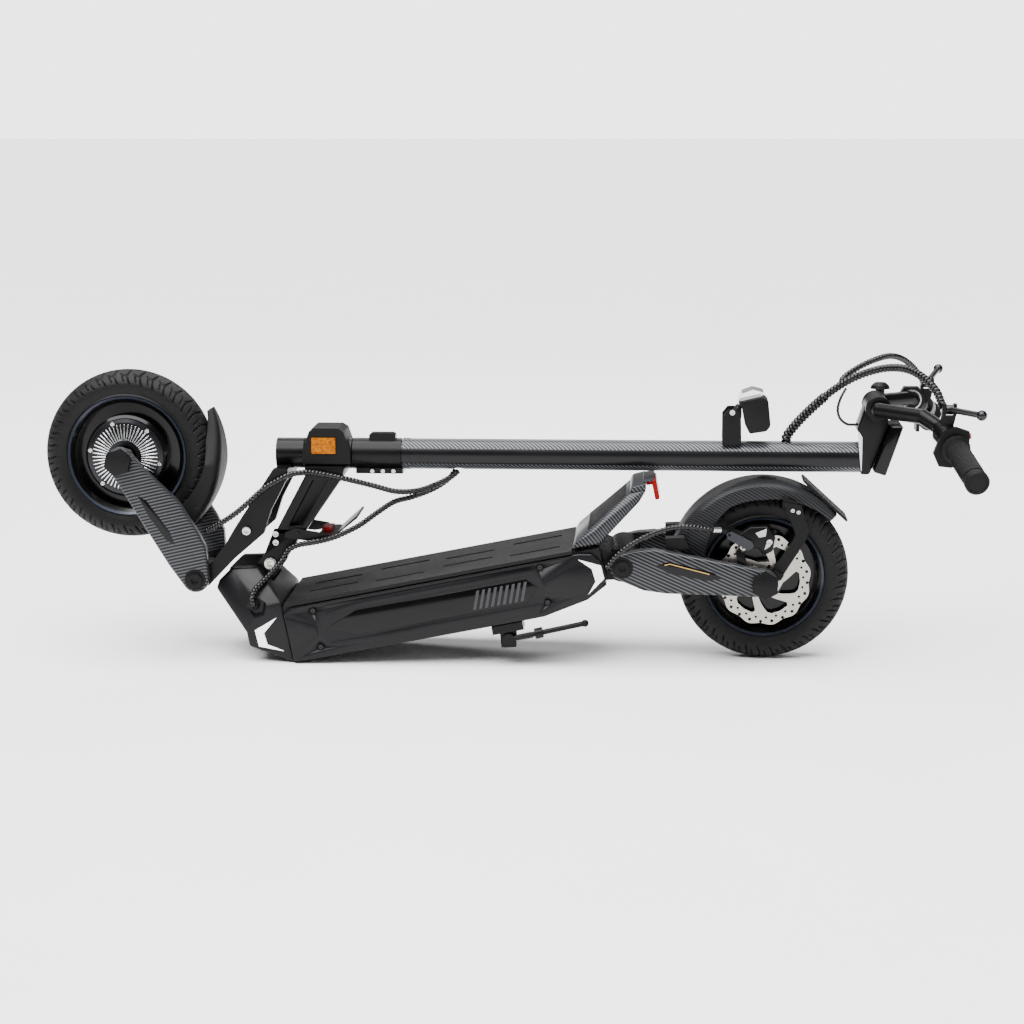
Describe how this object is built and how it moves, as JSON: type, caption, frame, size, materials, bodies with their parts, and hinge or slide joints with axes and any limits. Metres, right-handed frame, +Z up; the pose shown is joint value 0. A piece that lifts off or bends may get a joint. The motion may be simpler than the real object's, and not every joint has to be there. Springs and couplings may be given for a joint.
{
  "type": "folding electric kick scooter",
  "caption": "Folding kick scooter with a hub motor in each wheel, swing arm suspension, disc brake and a stem that folds down over the deck.",
  "frame": {"origin": "centre of the folded scooter's bounding box, on the floor", "axes": "+X to the rear wheel, +Y to the rider's right, +Z up"},
  "size_m": [1.3814, 0.6152, 0.4586],
  "materials": {
    "satin_black": "alloy under a satin black powder coat",
    "carbon_look": "gloss film printed like woven carbon",
    "gloss_black": "gloss black",
    "matt_plastic": "fine grained black",
    "rubber": "matt black",
    "tyre": "matt black",
    "battery": "shrink wrap",
    "alloy": "cast",
    "steel": "zinc plated",
    "disc_steel": "ground",
    "rim": "gloss black with a grey lip",
    "cover_grey": "metallic grey",
    "lever_grey": "grey anodised",
    "cable": "spiral wrapped",
    "white_reflector": "prismatic",
    "orange_reflector": "prismatic",
    "red_light": "clear red",
    "red_plastic": "moulded",
    "clear_lens": "clear",
    "grey_button": "moulded"
  },
  "bodies": {
    "deck": {"deck_tray": "satin_black", "deck_mat": "rubber", "battery_pack": "battery", "controller": "alloy", "front_casting": "satin_black", "side_covers": "matt_plastic", "corner_reflectors": "white_reflector", "hinge_pin": "steel", "side_screws": "satin_black", "kickplate": "satin_black", "tail_light": "red_light", "kickstand_mount": "satin_black"},
    "kickstand_leg": {"kickstand": "satin_black"},
    "rear_arm": {"rear_arms": "carbon_look", "rear_caps": "matt_plastic", "rear_axle": "steel", "rear_fender": "carbon_look", "rear_fender_stays": "matt_plastic", "brake_caliper": "satin_black", "brake_cable": "cable"},
    "caliper_lever": {"caliper_arm": "steel"},
    "rear_wheel": {"rear_tyre": "tyre", "rear_hub": "rim", "brake_disc": "disc_steel"},
    "neck": {"neck_frame": "satin_black", "neck_pins": "steel", "light_housing": "matt_plastic", "side_reflectors": "orange_reflector", "deck_cable": "cable"},
    "fold_clamp": {"fold_lever": "satin_black"},
    "catch": {"lever_catch": "red_plastic"},
    "steering": {"fork": "satin_black", "column": "satin_black", "stem": "satin_black", "stem_head": "satin_black", "handlebar": "satin_black", "grips": "rubber", "lever_perches": "satin_black", "display": "gloss_black", "left_pod": "matt_plastic", "throttle_pod": "matt_plastic", "bell": "matt_plastic", "headlight_bracket": "matt_plastic", "steering_bolts": "steel", "cable_loom": "cable", "wheel_cable": "cable"},
    "brake_left": {"left_lever": "lever_grey"},
    "brake_right": {"right_lever": "lever_grey"},
    "horn": {"horn_button": "red_plastic"},
    "lights": {"light_button": "grey_button"},
    "throttle": {"throttle_paddle": "matt_plastic"},
    "headlight": {"headlight_case": "matt_plastic", "headlight_lens": "clear_lens"},
    "front_arm": {"front_arms": "carbon_look", "front_caps": "matt_plastic", "front_axle": "steel", "front_fender": "carbon_look"},
    "front_wheel": {"front_tyre": "tyre", "front_hub": "rim", "hub_cover": "cover_grey"}
  },
  "joints": [
    {"name": "fold", "type": "hinge", "parent": "deck", "child": "neck", "pos_m": [-0.3844, 0, 0.08989], "axis": [0, -1, 0], "range_deg": [0, 86.3], "deforming": ["deck_cable"]},
    {"name": "steer", "type": "hinge", "parent": "neck", "child": "steering", "pos_m": [-0.34578, 0, 0.30496], "axis": [1, 0, 0.0018], "range_deg": [-45, 45]},
    {"name": "front_suspension", "type": "hinge", "parent": "steering", "child": "front_arm", "pos_m": [-0.45246, 0, 0.12477], "axis": [0, 1, 0], "range_deg": [-3, 8], "stiffness_Nm_per_rad": 700, "springref_deg": 0.37, "deforming": ["wheel_cable"]},
    {"name": "front_spin", "type": "hinge", "parent": "front_arm", "child": "front_wheel", "pos_m": [-0.56298, 0, 0.30258], "axis": [0, 1, 0], "continuous": true},
    {"name": "rear_suspension", "type": "hinge", "parent": "deck", "child": "rear_arm", "pos_m": [0.18581, 0, 0.15081], "axis": [0, -1, 0], "range_deg": [-4, 1.2], "stiffness_Nm_per_rad": 900, "springref_deg": -1.72, "deforming": ["brake_cable"]},
    {"name": "rear_spin", "type": "hinge", "parent": "rear_arm", "child": "rear_wheel", "pos_m": [0.39648, 0, 0.128], "axis": [0, 1, 0], "continuous": true},
    {"name": "stand", "type": "hinge", "parent": "deck", "child": "kickstand_leg", "pos_m": [0.01811, 0, 0.0415], "axis": [0, 1, 0], "range_deg": [0, 100]},
    {"name": "fold_release", "type": "hinge", "parent": "neck", "child": "fold_clamp", "pos_m": [-0.30257, 0, 0.18803], "axis": [0, 1, 0], "range_deg": [0, 50]},
    {"name": "catch_slide", "type": "slide", "parent": "fold_clamp", "child": "catch", "axis": [1, 0, 0.0018], "range_m": [0, 0.004], "stiffness_N_per_m": 200},
    {"name": "left_brake", "type": "hinge", "parent": "steering", "child": "brake_left", "pos_m": [0.65006, -0.148, 0.39971], "axis": [1, 0, 0.0018], "range_deg": [0, 18], "stiffness_Nm_per_rad": 1.5},
    {"name": "right_brake", "type": "hinge", "parent": "steering", "child": "brake_right", "pos_m": [0.65006, 0.148, 0.39971], "axis": [-1, 0, -0.0018], "range_deg": [0, 18], "stiffness_Nm_per_rad": 1.5},
    {"name": "caliper_pull", "type": "hinge", "parent": "rear_arm", "child": "caliper_lever", "pos_m": [0.37325, 0, 0.18248], "axis": [0, -1, 0], "range_deg": [0, 16]},
    {"name": "throttle_pull", "type": "hinge", "parent": "steering", "child": "throttle", "pos_m": [0.63215, 0, 0.34868], "axis": [0, 1, 0], "range_deg": [0, 25], "stiffness_Nm_per_rad": 0.2},
    {"name": "horn_press", "type": "slide", "parent": "steering", "child": "horn", "axis": [-1, 0, -0.0018], "range_m": [0, 0.0015], "stiffness_N_per_m": 300},
    {"name": "lights_press", "type": "slide", "parent": "steering", "child": "lights", "axis": [-1, 0, -0.0018], "range_m": [0, 0.0015], "stiffness_N_per_m": 300},
    {"name": "headlight_tilt", "type": "hinge", "parent": "steering", "child": "headlight", "pos_m": [0.34612, 0, 0.36318], "axis": [0, 1, 0], "range_deg": [-12, 12]}
  ],
  "couplings": [
    {"joint": "caliper_pull", "follows": "left_brake", "ratio": 0.85}
  ]
}
